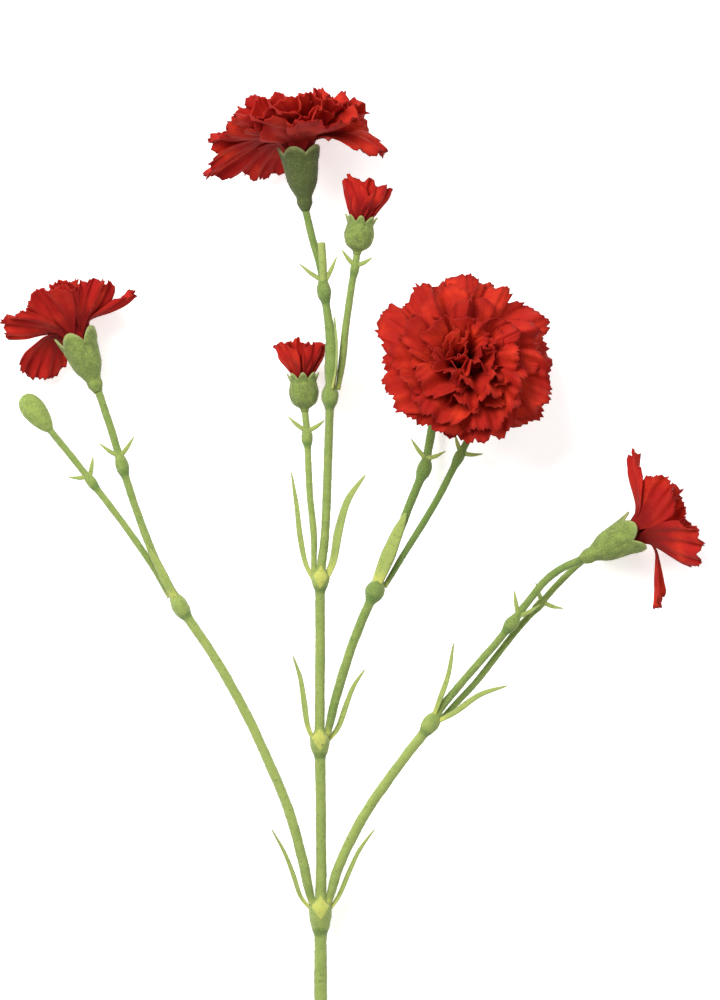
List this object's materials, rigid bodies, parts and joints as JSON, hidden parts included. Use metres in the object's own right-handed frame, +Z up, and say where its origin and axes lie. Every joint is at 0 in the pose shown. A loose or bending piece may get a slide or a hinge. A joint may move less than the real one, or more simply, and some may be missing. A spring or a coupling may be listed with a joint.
{
  "type": "cut carnation",
  "caption": "Cut spray of artificial red carnations lying flat: forked green stems with narrow leaves, ruffled open blooms, half-open red buds and closed green buds.",
  "frame": {"origin": "on the surface the spray lies on, under the middle of its bounding box", "axes": "+Y along the main stem from the cut end to the top bloom, +Z up from the surface, +X towards the right bloom"},
  "size_m": [0.21, 0.3538, 0.05],
  "materials": {
    "stem_green": "moulded plastic with a short flocked nap, yellowish at the forks",
    "calyx_green": "moulded plastic with a short mottled nap, pale along the lobes",
    "petal_red": "thin woven fabric with pressed folds and a cut, toothed edge"
  },
  "bodies": {
    "root": {"main_stem": "stem_green", "left_branch": "stem_green", "left_bud_stem": "stem_green", "right_branch": "stem_green", "right_bud_stem": "stem_green", "middle_branch": "stem_green", "middle_bud_stem": "stem_green", "centre_bud_stem": "stem_green", "upper_bud_stem": "stem_green", "large_bloom_calyx": "calyx_green", "top_bloom_calyx": "calyx_green", "left_bloom_calyx": "calyx_green", "right_bloom_calyx": "calyx_green", "upper_bud_calyx": "calyx_green", "centre_bud_calyx": "calyx_green", "left_closed_bud": "calyx_green", "right_closed_bud": "calyx_green", "middle_closed_bud": "calyx_green", "large_bloom_petals": "petal_red", "top_bloom_petals": "petal_red", "left_bloom_petals": "petal_red", "right_bloom_petals": "petal_red", "upper_bud_petals": "petal_red", "centre_bud_petals": "petal_red"}
  },
  "joints": []
}
